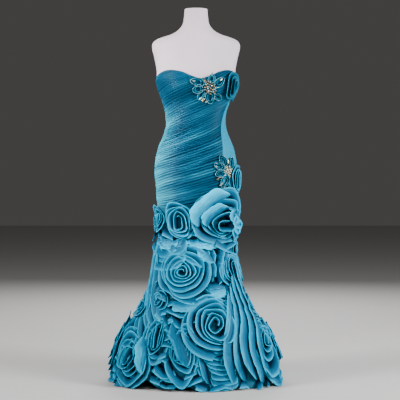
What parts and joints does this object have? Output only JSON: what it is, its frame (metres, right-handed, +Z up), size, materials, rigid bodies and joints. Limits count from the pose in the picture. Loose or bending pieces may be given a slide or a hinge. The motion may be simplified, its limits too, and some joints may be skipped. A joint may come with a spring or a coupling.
{
  "type": "pageant gown on a dress form",
  "caption": "Strapless pleated sheath gown with coiled fabric rosettes over a flared skirt and train, standing on a limbless dress form with a round base.",
  "frame": {"origin": "centre of the stand's round base, on the floor", "axes": "+Z up, -Y to the gown's front, +X to the wearer's left"},
  "size_m": [0.7472, 0.9848, 1.5802],
  "materials": {
    "satin": "satin weave with a soft sheen",
    "form_cover": "smooth pale cover",
    "beadwork": "beads and cut crystals",
    "gold_bead": "polished",
    "steel": "satin"
  },
  "bodies": {
    "root": {"dress_form": "form_cover", "stand_base": "steel", "stand_pole": "steel", "bodice_front": "satin", "side_panel_left": "satin", "bodice_back_left": "satin", "bodice_back_right": "satin", "skirt_front": "satin", "skirt_back": "satin", "rosettes_hip_right": "satin", "rosettes_hip_left": "satin", "rosettes_hip_back": "satin", "ruffle_thigh": "satin", "rosettes_knee_front": "satin", "ruffle_knee_right": "satin", "rosettes_knee_back_right": "satin", "rosettes_knee_back_left": "satin", "rosette_hem_front": "satin", "rosettes_hem_right": "satin", "ruffle_hem_left": "satin", "rosettes_train_right": "satin", "rosettes_train_left": "satin", "rosettes_train_back_right": "satin", "rosettes_train_back_left": "satin", "bust_rose": "satin", "hip_rose": "satin", "bust_brooch": "beadwork", "hip_brooch": "beadwork", "zip_slider": "steel"},
    "zip_tab": {"zip_tab": "steel"}
  },
  "joints": [
    {"name": "zip_tab_swing", "type": "hinge", "parent": "root", "child": "zip_tab", "pos_m": [0, 0.10157, 1.22441], "axis": [1, 0, 0], "range_deg": [0, 150]}
  ]
}
